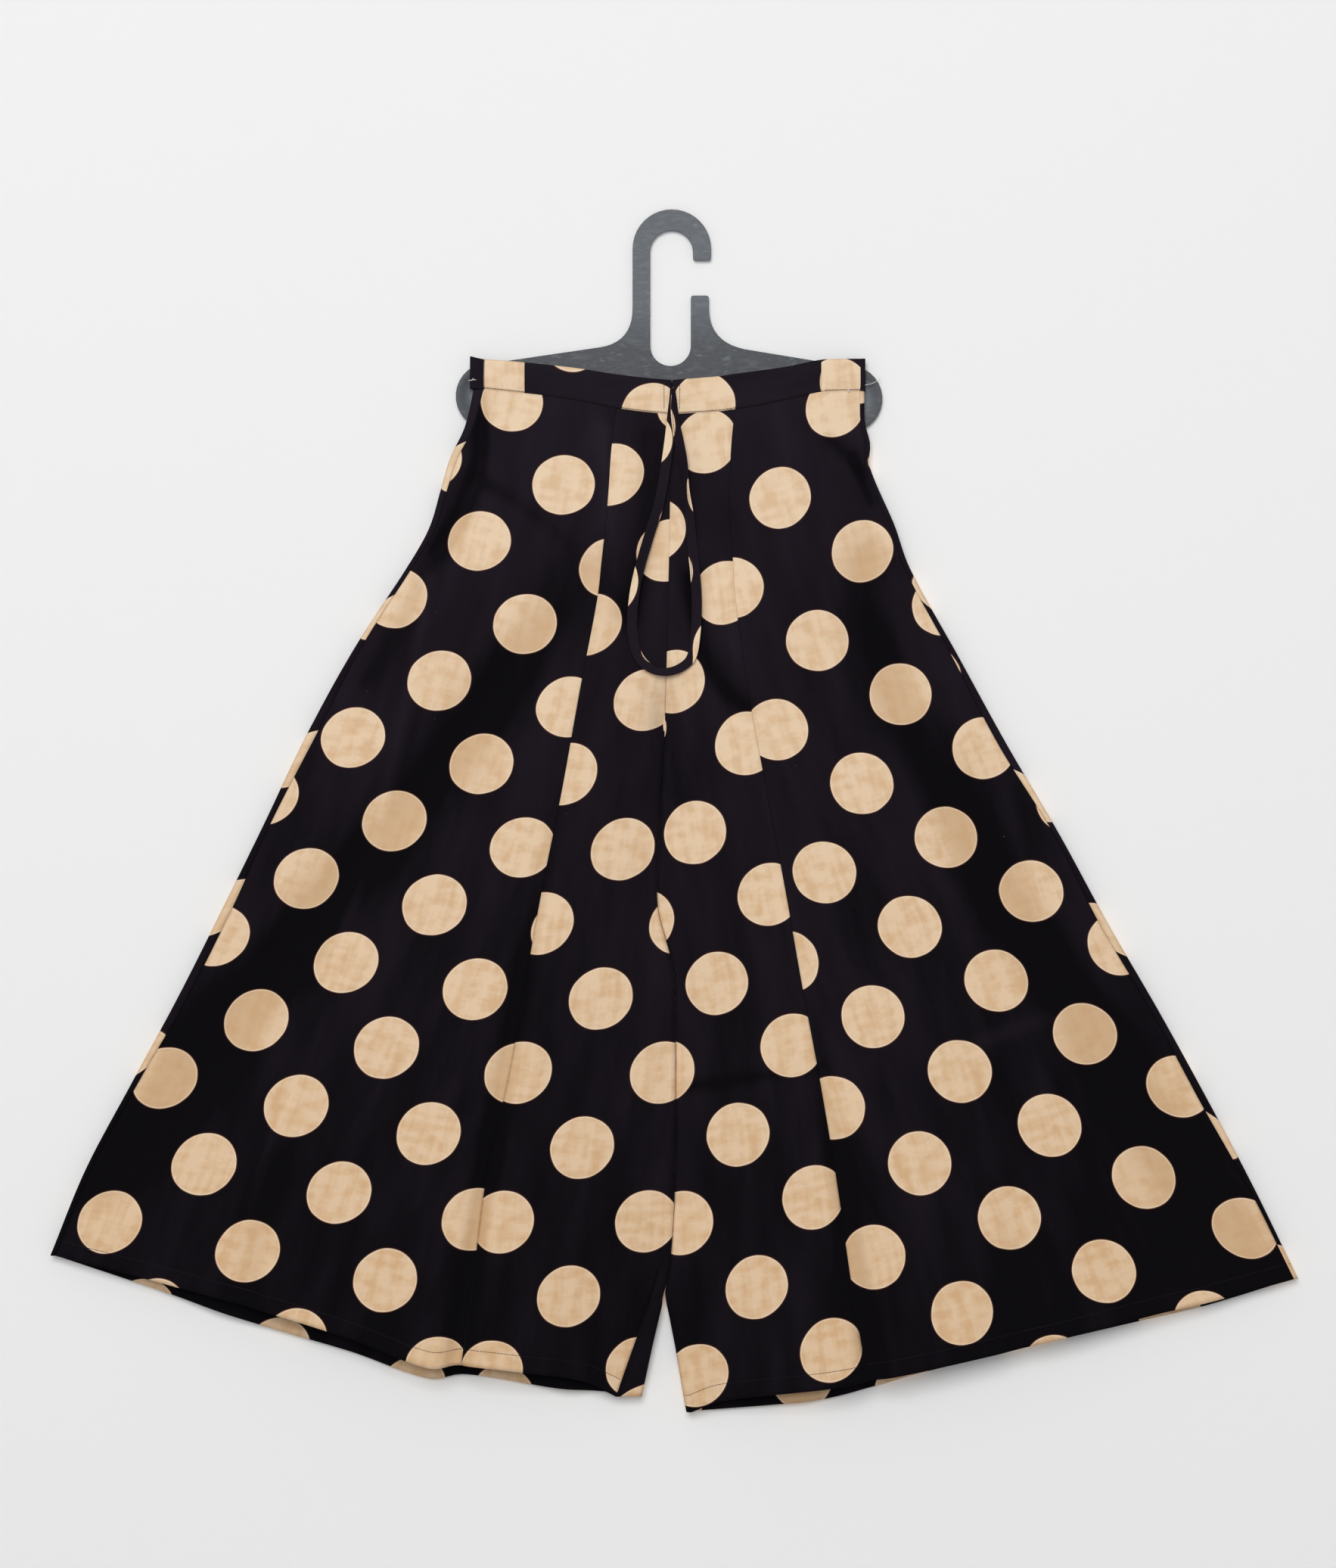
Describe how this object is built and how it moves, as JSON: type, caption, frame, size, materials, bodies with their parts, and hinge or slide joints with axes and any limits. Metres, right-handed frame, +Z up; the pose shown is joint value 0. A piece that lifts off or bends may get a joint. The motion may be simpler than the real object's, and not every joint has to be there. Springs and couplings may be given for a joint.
{
  "type": "palazzo pants on a hanger",
  "caption": "Wide-legged cotton palazzo pants with polka dots, panelled legs and a tape drawstring, hung flat in front of a plastic hanger.",
  "frame": {"origin": "top of the slot in the hanger's hook, where it hangs on a nail or rail, in the middle of the plate's thickness", "axes": "+Z up, -Y the front of the garment, +X to the right seen from the front"},
  "size_m": [1.1763, 0.04, 1.1332],
  "materials": {
    "cotton": "printed plain weave",
    "tape": "folded and edge stitched",
    "hanger_plastic": "matte, lightly scuffed"
  },
  "bodies": {
    "root": {"waistband_front_left": "cotton", "waistband_front_right": "cotton", "waistband_back": "cotton", "front_side_left": "cotton", "front_side_right": "cotton", "front_centre_left": "cotton", "front_centre_right": "cotton", "back_side_left": "cotton", "back_side_right": "cotton", "back_centre_left": "cotton", "back_centre_right": "cotton", "drawstring": "tape", "hanger": "hanger_plastic"}
  },
  "joints": []
}
